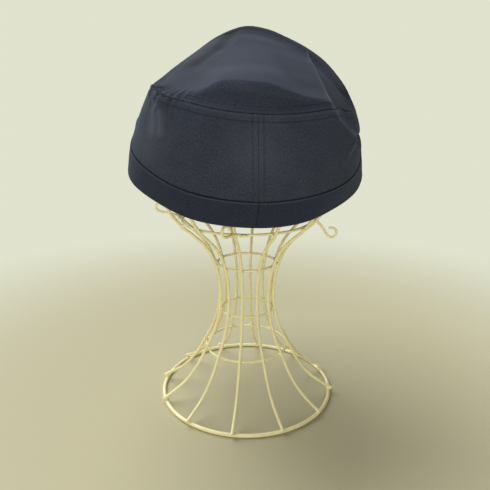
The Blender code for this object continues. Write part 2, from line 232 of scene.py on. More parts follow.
# metres and degrees: a turn goes from the centre back round over the left ear
capShape = {
    "headRadius": 0.092, "bandHeight": 0.0215, "crownHeight": 0.079, "panelRadius": 0.08,
    "tipBack": 20, "leanRight": 2.5, "turnLeft": 5,
    # turn, then the headband's lower and upper radius as shares of headRadius
    "bandRows": [
        (0, 0.978, 1.03), (25, 0.982, 1.02), (45, 0.948, 0.97), (68, 0.957, 0.927),
        (90, 0.933, 0.873), (110, 0.973, 0.924), (135, 0.995, 0.973), (180, 1, 0.995),
        (225, 0.995, 0.973), (250, 0.995, 0.951), (270, 0.984, 0.915), (292, 0.957, 0.916),
        (318, 0.929, 0.973), (338, 0.965, 1.005),
    ],
    # turn, then the top seam's radius and height as shares of panelRadius and crownHeight
    "rimRows": [
        (0, 0.944, 0.848), (20, 0.941, 0.848), (35, 0.929, 0.848), (48, 0.945, 0.848),
        (62, 0.898, 0.842), (75, 0.857, 0.76), (90, 0.85, 0.671), (105, 0.869, 0.639),
        (120, 0.888, 0.639), (135, 0.95, 0.665), (150, 1, 0.748), (165, 1.013, 0.896),
        (180, 1.025, 0.996), (193, 1.019, 0.99), (205, 1, 0.943), (217, 0.987, 0.892),
        (230, 0.969, 0.829), (245, 0.938, 0.75), (258, 0.919, 0.696), (270, 0.912, 0.658),
        (285, 0.912, 0.665), (300, 0.925, 0.728), (312, 0.938, 0.785), (323, 0.957, 0.848),
        (335, 0.945, 0.851), (347, 0.941, 0.848),
    ],
    # turn and how far the side wall swells, as a share of bandHeight
    "swellRows": [
        (0, 0.16), (50, 0.12), (90, 0.03), (130, 0.1), (180, 0.16), (235, 0.14), (285, 0.08),
        (325, 0.12),
    ],
}


def smoothCurve(t, first, firstLean, second, secondLean):
    # from one value to the next as t goes from 0 to 1, with these leans at the ends
    return (
        (2 * t**3 - 3 * t**2 + 1) * first + (t**3 - 2 * t**2 + t) * firstLean
        + (3 * t**2 - 2 * t**3) * second + (t**3 - t**2) * secondLean
    )


def readRound(rows, column, turns):
    # a table's column at any turn, smoothly through its rows and round again
    table = np.array(rows, float)
    knots, values = table[:, 0], table[:, column]
    gaps = np.mod(np.roll(knots, -1) - knots, 360)
    leans = (np.roll(values, -1) - np.roll(values, 1)) / (gaps + np.roll(gaps, 1))
    turns = np.mod(turns, 360)
    here = np.searchsorted(knots, turns, side="right") - 1
    after = (here + 1) % len(knots)
    gap = gaps[here]
    t = (turns - knots[here]) / gap
    return smoothCurve(t, values[here], leans[here] * gap, values[after], leans[after] * gap)


def atTurn(turns, out, up):
    out, up, angle = np.broadcast_arrays(out, up, np.radians(turns))
    return np.stack([out * np.sin(angle), out * np.cos(angle), up], axis=-1)


def hemPoints(turns):
    return atTurn(turns, capShape["headRadius"] * readRound(capShape["bandRows"], 1, turns), 0)


def seamPoints(turns):
    out = capShape["headRadius"] * readRound(capShape["bandRows"], 2, turns)
    return atTurn(turns, out, capShape["bandHeight"])


def rimPoints(turns):
    out = capShape["panelRadius"] * readRound(capShape["rimRows"], 1, turns)
    return atTurn(turns, out, capShape["crownHeight"] * readRound(capShape["rimRows"], 2, turns))


def bump(distance, width):
    return np.exp(-((distance / width) ** 2))


def smooth(low, high, value):
    # grows softly from 0 at the first place to 1 at the second
    t = np.clip((value - low) / (high - low), 0, 1)
    return t * t * (3 - 2 * t)


def waves(points, size, seed):
    # slow uneven swelling of the cloth, from -1 to 1, in patches of this size
    shift = Vector((seed, seed, seed))
    flat = points.reshape(-1, 3) / size
    return np.array([noise.noise(Vector(p) + shift) for p in flat]).reshape(points.shape[:-1])


def lengthsOf(vectors, keep=False):
    return np.linalg.norm(vectors, axis=-1, keepdims=keep)


def normalsOf(points, closed=True):
    # outward directions of a grid whose rows go round, the lowest first
    if closed:
        along = np.roll(points, -1, 1) - np.roll(points, 1, 1)
    else:
        along = np.gradient(points, axis=1)
    out = np.cross(np.gradient(points, axis=0), along)
    return out / np.maximum(lengthsOf(out, True), 1e-12)


def distancesUp(points):
    # how far each point lies from the first in its column
    steps = lengthsOf(np.diff(points, axis=0))
    return np.concatenate([np.zeros_like(steps[:1]), np.cumsum(steps, axis=0)])


# the cloth pieces' rows: close together over an edge's rounding, and even beyond it
clothGrid = {
    "edgeRows": [0, 0.0001, 0.00025, 0.00045, 0.0007, 0.001, 0.00135],
    "fine": 0.0004, "rising": 0.0007, "plain": 0.0013,
    "plainZone": 0.0024, "stitchedZone": 0.0066,
    "risingTo": 0.021, "middleFrom": 0.022, "middleRows": 46,  # on the top panel
}


def edgeRows(zone):
    # distances from a sewn edge as far as the fine zone goes
    first, fine = clothGrid["edgeRows"], clothGrid["fine"]
    return np.concatenate([first, np.arange(first[-1] + fine, zone, fine)])


def fineShares(length, lowZone, highZone):
    # shares of a length, close together near its two ends
    low, high = edgeRows(lowZone), length - edgeRows(highZone)[::-1]
    count = int((high[0] - low[-1]) / clothGrid["plain"]) + 2
    between = np.linspace(low[-1], high[0], count)[1:-1]
    return np.concatenate([low, between, high]) / length


def roundedEdge(distance, radius):
    # how far the cloth turns down beside a sewn edge
    inside = radius - np.clip(distance, 0, radius)
    return radius - np.sqrt(np.maximum(radius**2 - inside**2, 0))


# the columns' turns: close together at the centre back seam
nearBack = np.array([0, 0.12, 0.28, 0.5, 0.8, 1.1, 1.4, 1.7, 2, 2.3, 2.6, 2.9, 3.3, 3.8, 4.4])
turnsRound = np.concatenate([nearBack, np.arange(5, 355.5, 0.8), 360 - nearBack[:0:-1]])
turnsFromBack = np.mod(turnsRound + 180, 360) - 180


def gridObject(name, points, mapped, material, wearAndHighlight, paintedShade=0, closed=True):
    # a cloth piece from a grid, with its flat layout, its worn places and painted highlights, and its
    # painted shade
    rows, columns = points.shape[:2]
    mesh = bpy.data.meshes.new(name)
    last = columns if closed else columns - 1
    index = np.arange(rows * columns).reshape(rows, columns)
    here, beside = index[:, :last], np.roll(index, -1, 1)[:, :last]
    faces = np.stack([here[:-1], here[1:], beside[1:], beside[:-1]], axis=-1).reshape(-1, 4)
    mesh.from_pydata(points.reshape(-1, 3).tolist(), [], faces.tolist())
    layer = mesh.uv_layers.new(name="cloth")
    loops = np.empty(len(mesh.loops), np.int32)
    mesh.loops.foreach_get("vertex_index", loops)
    flat = mapped.reshape(-1, 2)[loops]
    if closed:  # the last column's faces run on past the seam
        lastFaces = np.repeat(faces[:, 0] % columns, 4) == columns - 1
        flat[lastFaces & (loops % columns == 0), 0] += mapped[0, -1, 0] - mapped[0, 0, 0]
    layer.data.foreach_set("uv", flat.astype(np.float32).ravel())
    for label, values in (("wearAndHighlight", wearAndHighlight), ("paintedShade", paintedShade)):
        layer = mesh.attributes.new(label, "FLOAT", "POINT")
        values = np.clip(np.broadcast_to(values, points.shape[:2]), 0, 1)
        layer.data.foreach_set("value", values.astype(np.float32).ravel())
    mesh.materials.append(material)
    mesh.shade_smooth()
    return linkNew(name, mesh)


def placeOnCap(obj):
    obj.data.transform(capPlace)
    return obj


def finishCloth(obj, settings):
    # the cloth's thickness goes inwards, and its cut edges are rounded
    wall = obj.modifiers.new("clothThickness", "SOLIDIFY")
    wall.thickness = settings["thickness"]
    wall.offset = -1
    edge = obj.modifiers.new("foldedEdge", "BEVEL")
    edge.limit_method = "ANGLE"
    edge.angle_limit = radians(50)
    edge.width = settings["edgeRounding"]
    edge.segments = 2
    return placeOnCap(obj)


capTurned = (
    Matrix.Rotation(radians(capShape["turnLeft"]), 4, "Z")
    @ Matrix.Rotation(radians(-capShape["leanRight"]), 4, "Y")
    @ Matrix.Rotation(radians(-capShape["tipBack"]), 4, "X")
)
plainBand = np.concatenate([hemPoints(turnsRound), seamPoints(turnsRound)])
plainBand = plainBand @ np.array(capTurned.to_3x3()).T
bandLow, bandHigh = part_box("band")
bandMiddle = (plainBand.min(0) + plainBand.max(0)) / 2
capPlace = Matrix.Translation((bandLow + bandHigh) / 2 - Vector(bandMiddle)) @ capTurned


print("Side wall")

wallHeight = capShape["crownHeight"] - capShape["bandHeight"]

# across a seam: its rounded edge, its doubled cloth, its row of stitches and its painted shades
topSeam = {
    "rounding": 0.00055, "allowance": 0.0052, "height": 0.0004, "step": (0.0005, 0.0008),
    "stitchFrom": 0.0045, "stitchDip": 0.0003, "stitchWidth": 0.0004, "stitchShade": 0.45,
    "lineShade": 0.65, "lineWidth": 0.00025,
}
panelSeam = dict(topSeam, stitchShade=0.3)
backSeam = dict(
    topSeam, rounding=0.0003, allowance=0.0042, stitchFrom=0.0032, stitchShade=0.4, lineShade=0.3,
    lineWidth=0.0002,
)

# where the top seam is pulled flat: the turns where this grows and fades, and how much
flatSeam = [((29, 38), (90, 76), 0.95), ((255, 275), (323, 317), 0.6)]

# the gathers on the left shoulder, and the turns where they grow and fade
shoulder = {
    "begins": (34, 41), "ends": (67, 59), "ripples": (4.4, 2.5, 0.012, 2.7), "height": 0.00034,
    "middle": 0.002, "reach": 0.009, "drop": 0.0006, "dropReach": 0.0035,
}

# the top panel's sharp fold runs on down here: turns and shares of the wall's height
sharpFold = [
    (324.6, 1), (323.2, 0.94), (321.8, 0.876), (318.3, 0.81), (313.9, 0.735), (307.8, 0.635),
]

sideWall = {
    "thickness": 0.0015, "edgeRounding": 0.0004, "flatRadius": 0.088,
    "backLean": (-0.45, 1.45),  # the back seam's turn at the headband and at the top
    "backBelow": (0.0004, 0.001),  # it begins this far below the top seam
    "sag": 0.0006, "sagWaves": (0.03, 3.1), "sagFade": (0.012, 0.008),
    "pucker": 0.00012, "ripples": (4.6, 3, 0.02, 8.2), "flatRise": 0.0005,
    # how far in and how far down the turned-in edges go, and their painted shade
    "lowerLip": (0.001, 0.004), "upperLip": (0.003, 0.0036), "lipShade": 0.6,
    # folds along a line of turns and shares, then width and push in metres
    "folds": [
        (sharpFold, 0.002, 0.0013),
        ([(317, 1), (311, 0.86), (303, 0.75)], 0.0045, -0.0016),
        # the notch and the hollow under it on the right flank
        ([(305, 0.58), (299, 0.54), (292, 0.5), (240, 0.5)], 0.0019, -0.0014),
        ([(302, 0.44), (291, 0.4), (240, 0.4)], 0.0044, -0.0027),
        ([(304.5, 0.56), (311.5, 0.5), (317.7, 0.42), (321.2, 0.34)], 0.0024, 0.0011),
        ([(297, 0.34), (268, 0.3)], 0.005, -0.0008),
        # small folds under the left shoulder, and the long soft ones below them
        ([(60, 0.95), (61, 0.82)], 0.0016, -0.0004),
        ([(55.5, 0.96), (57, 0.8)], 0.0018, 0.0006),
        ([(51, 0.95), (53.5, 0.78)], 0.0016, -0.0007),
        ([(46.5, 0.96), (49, 0.82)], 0.0015, 0.0006),
        ([(42.5, 0.95), (44, 0.85)], 0.0016, -0.0006),
        ([(50.5, 0.88), (48.6, 0.78), (47.2, 0.68), (46.2, 0.54)], 0.0062, 0.0013),
        ([(46.1, 0.84), (44.3, 0.75), (43.1, 0.65), (42.5, 0.54)], 0.0016, 0.0006),
        ([(43.6, 0.84), (41.8, 0.75), (40.6, 0.64), (40.2, 0.52)], 0.0026, -0.0011),
    ],
    # pale places, some worn and some painted highlight and light: the same kind of line, then width in
    # metres and strength
    "wearAndHighlight": [
        # the sharp fold's edge is worn, with a painted highlight along it
        (sharpFold, 0.001, 0.55),
        # painted highlight by the notch and along the ridge under it
        ([(311, 0.7), (308, 0.66)], 0.0035, 0.16),
        ([(306, 0.55), (311.5, 0.5), (317.7, 0.42)], 0.0011, 0.32),
        # painted highlights on the left flank's folds, and painted light over the flank
        ([(55.5, 0.98), (57, 0.8)], 0.0009, 0.2),
        ([(46.1, 0.8), (44.3, 0.73), (43.1, 0.63), (42.6, 0.57)], 0.0022, 0.26),
        ([(50.5, 0.84), (48, 0.72), (46.8, 0.6)], 0.007, 0.2),
        ([(46, 0.5), (50, 0.3)], 0.012, 0.19),
        # paler down the middle of the back
        ([(0, 0.72), (2, 0.55)], 0.015, 0.19),
        ([(361, 0.72), (359, 0.55)], 0.015, 0.19),
    ],
    # rows along the seams, with painted shade along the lower edge
    "topPuckers": (0.006, 0.006, 1), "lowPuckers": (0.003, 0.005, 0.6),
    "wornEdge": (0.0011, 0.0005, 0.16), "lowShade": (0, 0.0003, 0.8),
    "wornFlat": 0.5,  # more wear where the top seam is pulled flat
}


def lineDistance(line, turns, shares):
    # distance on the cloth from a line of turns and shares
    scale = np.array([radians(1) * capShape["headRadius"], wallHeight])
    turns, shares = np.broadcast_arrays(turns, shares)
    place = np.stack([turns * scale[0], shares * scale[1]], axis=-1)
    nearest = np.full(turns.shape, np.inf)
    for start, end in zip(line, line[1:]):
        start, run = np.multiply(start, scale), np.subtract(end, start) * scale
        along = np.clip((place - start) @ run / (run @ run), 0, 1)
        nearest = np.minimum(nearest, lengthsOf(place - start - along[..., None] * run))
    return nearest


def wallPoints(turns, shares):
    turns, shares = np.broadcast_arrays(turns, shares)
    swell = capShape["bandHeight"] * readRound(capShape["swellRows"], 1, turns) * np.sin(pi * shares)
    for line, width, push in sideWall["folds"]:
        swell = swell + push * bump(lineDistance(line, turns, shares), width)
    seam = seamPoints(turns)
    return seam + (rimPoints(turns) - seam) * shares[..., None] + atTurn(turns, swell, 0)


def rowAt(distance, row):
    # a row along a seam: how far from it, how wide and how strong
    where, width, strength = row
    return strength * bump(distance - where, width)


def seamRelief(distance, seam, tight=1):
    # how far the cloth stands out beside a sewn seam
    before, after = seam["step"]
    doubled = 1 - smooth(seam["allowance"] - before, seam["allowance"] + after, distance)
    sewn = seam["stitchDip"] * bump(distance - seam["stitchFrom"], seam["stitchWidth"])
    softened = (1 - tight) * shoulder["drop"] * bump(distance, shoulder["dropReach"])
    rounded = tight * roundedEdge(distance, seam["rounding"])
    return seam["height"] * doubled - rounded - softened - sewn


def seamShade(distance, seam, tight=1):
    # painted shade along a seam's line and its row of stitches
    sewn = seam["stitchShade"] * bump(distance - seam["stitchFrom"], seam["stitchWidth"])
    return tight * seam["lineShade"] * bump(distance, seam["lineWidth"]) + sewn


def topSeamTight(turns):
    # 1 where the top seam lies deep, and less where it is pulled flat
    tight = 1.0
    for begins, ends, share in flatSeam:
        tight = tight - share * smooth(*begins, turns) * smooth(*ends, turns)
    return tight


def ripples(turns, points, every, uneven, size, seed):
    # waves round the cap, so many degrees apart and not quite even
    return np.sin(turns / every * 2 * pi + uneven * waves(points, size, seed))


def gathers(turns, points, distance):
    inside = smooth(*shoulder["begins"], turns) * smooth(*shoulder["ends"], turns)
    across = bump(distance - shoulder["middle"], shoulder["reach"])
    small = ripples(turns, points, *shoulder["ripples"])
    return shoulder["height"] * inside * small * across


def flatLayout(radius, up):
    # the cloth laid flat: round the cap, and up from its lower edge
    return np.stack([np.broadcast_to(np.radians(turnsRound) * radius, up.shape), up], axis=-1)


def withLips(grids):
    # turned-in edges behind the two seams, so that nothing shows through them
    for row, (inward, below) in ((0, sideWall["lowerLip"]), (-1, sideWall["upperLip"])):
        points, mapped, wearAndHighlight, paintedShade = grids
        edge = points[row].copy()
        edge[:, :2] *= 1 - inward / lengthsOf(edge[:, :2], True)
        edge[:, 2] -= below
        # the turned-in edges are painted in shade
        shade = np.full_like(paintedShade[row], sideWall["lipShade"])
        added = (edge, mapped[row], np.zeros_like(wearAndHighlight[row]), shade)
        place = 0 if row == 0 else len(points)
        grids = [np.insert(old, place, new, axis=0) for old, new in zip(grids, added)]
    return grids


def makeSideWall():
    shares = fineShares(wallHeight, clothGrid["plainZone"], clothGrid["stitchedZone"])[:, None]
    turns = turnsRound[None, :] + np.interp(shares, (0, 1), sideWall["backLean"])
    points = wallPoints(turns, shares)
    up = distancesUp(points)
    down = up[-1] - up
    normals = normalsOf(points)
    radius = lengthsOf(points[..., :2])
    fromBack = np.abs(np.radians(turnsFromBack)[None, :] * radius)
    tight = topSeamTight(turns)
    points[-1, :, 2] += sideWall["flatRise"] * (1 - tight[-1])

    relief = seamRelief(down, topSeam, tight) - roundedEdge(up, topSeam["rounding"])
    relief += seamRelief(fromBack, backSeam) * smooth(*sideWall["backBelow"], down)
    fadeDown, fadeUp = sideWall["sagFade"]
    fade = smooth(0, fadeDown, down) * smooth(0, fadeUp, up)
    relief += sideWall["sag"] * waves(points, *sideWall["sagWaves"]) * fade
    relief += gathers(turns, points, down)
    puckers = ripples(turnsRound[None, :], points, *sideWall["ripples"])
    along = rowAt(down, sideWall["topPuckers"]) + rowAt(up, sideWall["lowPuckers"])
    relief += sideWall["pucker"] * puckers * along
    points = points + normals * relief[..., None]

    # pale wear along the top seam and the pale lines, some of them painted highlight and light
    wearAndHighlight = rowAt(down, sideWall["wornEdge"]) * (1 + sideWall["wornFlat"] * (1 - tight))
    for line, width, strength in sideWall["wearAndHighlight"]:
        wearAndHighlight = wearAndHighlight + strength * bump(lineDistance(line, turns, shares), width)
    # painted shade along the seams and the lower edge
    paintedShade = seamShade(down, topSeam, tight) + seamShade(fromBack, backSeam)
    paintedShade += rowAt(up, sideWall["lowShade"])
    mapped = flatLayout(sideWall["flatRadius"], up)
    points, mapped, wearAndHighlight, paintedShade = withLips((points, mapped, wearAndHighlight, paintedShade))
    obj = gridObject("sideWallCloth", points, mapped, crownTwill, wearAndHighlight, paintedShade)
    return finishCloth(obj, sideWall)


sideWallCloth = makeSideWall()


print("Top panel")

# metres across and along from the panel's middle, to the left and to the back
topPanel = {
    "thickness": 0.0015, "edgeRounding": 0.0004, "slope": 0.27, "rounding": 0.02,
    # the sharp fold on the right: it drops at once and then slopes away
    "rightFold": {
        # place along, then across
        "line": [
            (-0.085, -0.0495), (-0.055, -0.049), (-0.033, -0.0484), (-0.003, -0.0464),
            (0.022, -0.0446), (0.041, -0.0434), (0.057, -0.0434), (0.068, -0.045),
        ],
        "drop": 0.0024, "dropWidth": 0.002, "slope": 0.37, "rounding": 0.0006,
        "pinch": 0.0006, "pinchWidth": 0.0015,
        # past the fold, painted shade; along it, a worn edge with a painted highlight; past its front
        # end, painted light
        "past": (0.0005, 0.003), "shade": 0.78, "shadeFrom": (-0.03, -0.004),
        "wornAndHighlightLine": (-0.0002, 0.0011, 0.8), "wornAndHighlightFrom": (-0.07, -0.045),
        "paleWearAndHighlight": 0.18, "paintedLightFrom": (-0.026, -0.04),
    },
    # the soft valley along the front left
    "frontDip": {
        "line": [(-0.08, 0.009), (-0.051, 0.0165), (-0.038, 0.022), (-0.02, 0.0305), (-0.006, 0.036)],
        # its width, depth and end, then the painted shade in it and that shade's width
        "width": 0.006, "depth": 0.0019, "endsAt": (0.018, -0.012), "shade": 0.48, "shadeWidth": 0.018,
    },
    # the slope down to the left, past a line from back to front
    "leftFold": {"back": (0.066, 0.033), "front": (0.032, -0.051), "slope": 0.6, "rounding": 0.012},
    # the broad bulge before the back seam, and where it grows and fades
    "backBulge": {
        "left": (0.037, 0.022), "right": (-0.03, -0.002), "front": (0.012, 0.05), "height": 0.0034,
    },
    # place along and height, as shares of panelRadius and crownHeight
    "crest": [
        (-1.06, 1.006), (-0.78, 0.972), (-0.56, 0.958), (-0.25, 0.968), (0.12, 0.981), (0.5, 0.987),
        (0.78, 0.981), (1, 0.949),
    ],
    # turn, how far in it finishes rising, its curve (2 round, 1 straight) and its hollow
    "riserRows": [
        (0, 0.015, 1.45, 0.11), (10, 0.0168, 1.45, 0.11), (20, 0.0164, 1.45, 0.11),
        (27, 0.012, 1.5, 0.09), (31, 0.009, 1.7, 0.05), (38, 0.0085, 1.8, 0.02),
        (50, 0.012, 2, 0), (70, 0.016, 2, 0), (120, 0.016, 2, 0),
        (180, 0.016, 2, 0), (240, 0.012, 1.8, 0), (270, 0.008, 1.5, 0),
        (300, 0.007, 1.4, 0), (318, 0.006, 1.5, 0), (324, 0.0065, 1.8, 0.03),
        (330, 0.0075, 1.6, 0.07), (336, 0.008, 1.5, 0.1), (342, 0.0092, 1.45, 0.11),
        (350, 0.0118, 1.45, 0.11),
    ],
    "hollowAt": 0.36, "hollowWidth": 0.24,
    "sag": 0.0007, "sagWaves": (0.034, 5.4), "sagFrom": (0.002, 0.02), "flatClose": 0.006,
    "pucker": 0.0001, "ripples": (4.1, 3, 0.02, 6.6), "puckerRow": (0.006, 0.005, 1),
    "wornEdge": (0.0011, 0.0005, 0.14), "wornFlat": 0.5714,
    # painted light over the panel's front
    "frontPaintedLight": 0.22, "frontFrom": (-0.048, -0.064),
    # painted shade on its two sides, and where it grows and fades
    "leftShade": 0.4, "leftFrom": (0.02, 0.044), "rightShade": 0.38, "rightFrom": (-0.008, -0.022),
    "sidesFront": (-0.045, -0.015), "sidesBack": (0.055, 0.035),
    # painted shade on the rise up from the seam, and how far it reaches
    "riserShade": 0.2, "riserFade": 0.3,
}


def softStep(distance, rounding):
    return 0.5 * (distance + np.sqrt(distance**2 + rounding**2))


def readAlong(rows, places):
    # a smooth curve through an open table of two columns
    knots, values = np.array(rows, float).T
    leans = np.gradient(values, knots)
    places = np.clip(places, knots[0], knots[-1])
    k = np.clip(np.searchsorted(knots, places, side="right") - 1, 0, len(knots) - 2)
    gap = knots[k + 1] - knots[k]
    t = (places - knots[k]) / gap
    return smoothCurve(t, values[k], leans[k] * gap, values[k + 1], leans[k + 1] * gap)


def beyondFold(x, y):
    # distance past the fold on the right, negative before it
    return readAlong(topPanel["rightFold"]["line"], y) - x


def pastFold(x, y):
    return smooth(*topPanel["rightFold"]["past"], beyondFold(x, y))


def inFrontDip(x, y, width):
    dip = topPanel["frontDip"]
    return bump(x - readAlong(dip["line"], y), width) * smooth(*dip["endsAt"], y)


def sunkPanel(x, y):
    # the panel's height: its crest and bulge, less the slopes, the valley and the folds
    left, right = topPanel["leftFold"], topPanel["rightFold"]
    dip, bulge = topPanel["frontDip"], topPanel["backBulge"]
    rounding = topPanel["rounding"]
    up = capShape["crownHeight"] * readAlong(topPanel["crest"], y / capShape["panelRadius"])
    up = up - topPanel["slope"] * (np.hypot(x, rounding) - rounding)
    raised = smooth(*bulge["right"], x) * smooth(*bulge["left"], x) * smooth(*bulge["front"], y)
    up = up + bulge["height"] * raised - dip["depth"] * inFrontDip(x, y, dip["width"])
    beyond = beyondFold(x, y)
    past = softStep(beyond, right["rounding"])
    up = up - right["slope"] * past - right["drop"] * (1 - np.exp(-past / right["dropWidth"]))
    up = up + right["pinch"] * np.exp(-np.abs(beyond) / right["pinchWidth"])
    line = np.subtract(left["back"], left["front"])
    line = line / np.hypot(*line)
    outside = (x - left["back"][0]) * line[1] - (y - left["back"][1]) * line[0]
    return up - left["slope"] * softStep(outside, left["rounding"])


def panelPoints(turns, shares):
    # share 0 is the seam, where the panel follows the wall's folds, and 1 its middle
    turns, shares = np.broadcast_arrays(turns, shares)
    rim = wallPoints(turns, 1)
    points = rim * (1 - shares[..., None])
    inward = shares * lengthsOf(rim[..., :2])
    width, curve, hollow = (readRound(topPanel["riserRows"], column, turns) for column in (1, 2, 3))
    left = np.clip(1 - inward / width, 0, 1)
    hollowed = bump(1 - left - topPanel["hollowAt"], topPanel["hollowWidth"]) * (left > 0)
    rise = 1 - left**curve - hollow * hollowed
    points[..., 2] = rim[..., 2] + (sunkPanel(points[..., 0], points[..., 1]) - rim[..., 2]) * rise
    return points


def panelShares():
    # rows close together at the seam, and plain to the middle
    fine = edgeRows(clothGrid["stitchedZone"])
    step, radius = clothGrid["rising"], capShape["panelRadius"]
    rising = np.arange(fine[-1] + step, clothGrid["risingTo"], step)
    rest = np.linspace(clothGrid["middleFrom"], radius, clothGrid["middleRows"])[:-1]
    return np.concatenate([fine, rising, rest]) / radius


def panelShade(x, y):
    # painted shade, where the panel is darker: at both sides, past the fold and in the valley
    fold, dip = topPanel["rightFold"], topPanel["frontDip"]
    past = pastFold(x, y)
    left = topPanel["leftShade"] * smooth(*topPanel["leftFrom"], x)
    right = topPanel["rightShade"] * smooth(*topPanel["rightFrom"], x) * (1 - past)
    middle = smooth(*topPanel["sidesFront"], y) * smooth(*topPanel["sidesBack"], y)
    return (
        (left + right) * middle + fold["shade"] * past * smooth(*fold["shadeFrom"], y)
        + dip["shade"] * inFrontDip(x, y, dip["shadeWidth"])
    )


def panelWearAndLight(x, y):
    # where it is paler: a worn edge with a painted highlight along the fold, and painted light past the
    # fold's front end and at the panel's front
    fold = topPanel["rightFold"]
    return (
        rowAt(beyondFold(x, y), fold["wornAndHighlightLine"]) * smooth(*fold["wornAndHighlightFrom"], y)
        + fold["paleWearAndHighlight"] * pastFold(x, y) * smooth(*fold["paintedLightFrom"], y)
        + topPanel["frontPaintedLight"] * smooth(*topPanel["frontFrom"], y)
    )


def makeTopPanel():
    turns, shares = turnsRound[None, :], panelShares()[:, None]
    points = panelPoints(turns, shares)
    inward = distancesUp(points)
    normals = normalsOf(points)
    tight = topSeamTight(turns)
    points[0, :, :2] *= 1 + topPanel["flatClose"] * (1 - tight[0])[:, None]  # closes up to the wall
    relief = seamRelief(inward, topSeam, tight)
    sag = topPanel["sag"] * waves(points, *topPanel["sagWaves"])
    relief += sag * smooth(*topPanel["sagFrom"], inward)
    relief += gathers(turns, points, inward)
    puckers = ripples(turns, points, *topPanel["ripples"])
    relief += topPanel["pucker"] * puckers * rowAt(inward, topPanel["puckerRow"])
    points = points + normals * relief[..., None]

    angle, left = np.radians(turns), inward[-1:] - inward
    mapped = np.stack([left * np.sin(angle), left * np.cos(angle)], axis=-1)
    across, along = points[..., 0], points[..., 1]
    # pale wear with painted highlight and light, then painted shade along the seam, over the panel and
    # on the rise
    wearAndHighlight = rowAt(inward, topPanel["wornEdge"]) * (1 + topPanel["wornFlat"] * (1 - tight))
    wearAndHighlight += panelWearAndLight(across, along)
    paintedShade = seamShade(inward, panelSeam, tight) + panelShade(across, along)
    risen = 1 - inward / readRound(topPanel["riserRows"], 1, turns)
    paintedShade += topPanel["riserShade"] * smooth(0, topPanel["riserFade"], risen)
    obj = gridObject("topPanelCloth", points, mapped, crownTwill, wearAndHighlight, paintedShade)
    closeMiddle(obj, len(turnsRound))
    return finishCloth(obj, topPanel)


def closeMiddle(obj, columns):
    # the last faces, from the innermost row to a point in the middle
    mesh = bmesh.new()
    mesh.from_mesh(obj.data)
    mesh.verts.ensure_lookup_table()
    ring = list(mesh.verts)[-columns:]
    layer = mesh.loops.layers.uv["cloth"]
    middle = mesh.verts.new(sum((v.co for v in ring), Vector()) / columns)
    for here, beside in zip(ring, ring[1:] + ring[:1]):
        face = mesh.faces.new((beside, here, middle))
        face.smooth = True
        for loop in face.loops:
            loop[layer].uv = (0, 0)
    mesh.normal_update()
    if list(mesh.faces)[-1].normal.z < 0:
        bmesh.ops.reverse_faces(mesh, faces=list(mesh.faces)[-columns:])
    mesh.to_mesh(obj.data)
    mesh.free()


topPanelCloth = makeTopPanel()


print("Headband")

headband = {
    "thickness": 0.002, "edgeRounding": 0.0007, "seamRounding": 0.0005, "backRounding": 0.0004,
    "backLean": (-0.95, -0.45),  # the back seam's turn at the hem and at the wall
    "proud": 0.0006, "proudFrom": 0.014,  # it stands out a little, from this height up
    "sag": 0.0004, "sagWaves": (0.026, 1.7),
    # rows along the seams: worn rows, and painted shade in the two seams
    "wornSeam": (0.001, 0.0005, 0.26), "wornHem": (0, 0.0009, 0.08),
    "seamShade": (0, 0.0002, 0.8), "backShade": (0, 0.0003, 0.7),
}


def makeHeadband():
    zone = clothGrid["plainZone"]
    shares = fineShares(capShape["bandHeight"], zone, zone)[:, None]
    turns = turnsRound[None, :] + np.interp(shares, (0, 1), headband["backLean"])
    hem = hemPoints(turns)
    points = hem + (seamPoints(turns) - hem) * shares[..., None]
    up = distancesUp(points)
    down = up[-1] - up
    normals = normalsOf(points)
    fromBack = np.abs(np.radians(turnsFromBack)[None, :] * capShape["headRadius"])
    relief = headband["proud"] * smooth(0, headband["proudFrom"], up)
    relief = relief - roundedEdge(fromBack, headband["backRounding"])
    relief -= roundedEdge(down, headband["seamRounding"])
    relief += headband["sag"] * waves(points, *headband["sagWaves"])
    points = points + normals * relief[..., None]
    wearAndHighlight = rowAt(down, headband["wornSeam"]) + rowAt(up, headband["wornHem"])
    # painted shade in the top seam and down the back seam
    paintedShade = rowAt(down, headband["seamShade"]) + rowAt(fromBack, headband["backShade"])
    mapped = flatLayout(capShape["headRadius"], up)
    obj = gridObject("headbandCloth", points, mapped, bandTwill, wearAndHighlight, paintedShade)
    return finishCloth(obj, headband)


headbandCloth = makeHeadband()


print("Peak")

peak = {
    "reach": 0.064, "halfTurn": 70, "slope": 21, "flare": 0.001, "below": -0.0005,
    "tuck": 0.0012,  # its root lies this far inside the headband
    "thickness": 0.0025, "edgeRounding": 0.001, "rows": 100, "columns": 181,
    "sag": 0.00025, "sagWaves": (0.03, 4.4), "wornEdge": (0, 0.001, 0.14),
    "stitchRows": (0.0035, 0.011, 0.0185, 0.026, 0.0335, 0.041), "stitchDip": 0.00025,
    "stitchWidth": 0.0006,
}


def peakPoints(across, shares):
    # across goes from -1 to 1 between its ends, and shares from the headband to its edge
    across, shares = np.broadcast_arrays(across, shares)
    head, turn = capShape["headRadius"], radians(peak["halfTurn"])
    half, ends = head * sin(turn) + peak["flare"], head * cos(turn)
    reach = head + peak["reach"] - ends
    root = hemPoints(180 + across * peak["halfTurn"])
    root = root * (1 - peak["tuck"] / lengthsOf(root, True))
    swing = across * pi / 2
    edge = [-half * np.sin(swing), -ends - reach * np.cos(swing), np.zeros_like(swing)]
    edge = np.stack(edge, axis=-1)
    points = root + (edge - root) * shares[..., None]
    points[..., 2] = -peak["below"] - lengthsOf(points - root) * tan(radians(peak["slope"]))
    return points


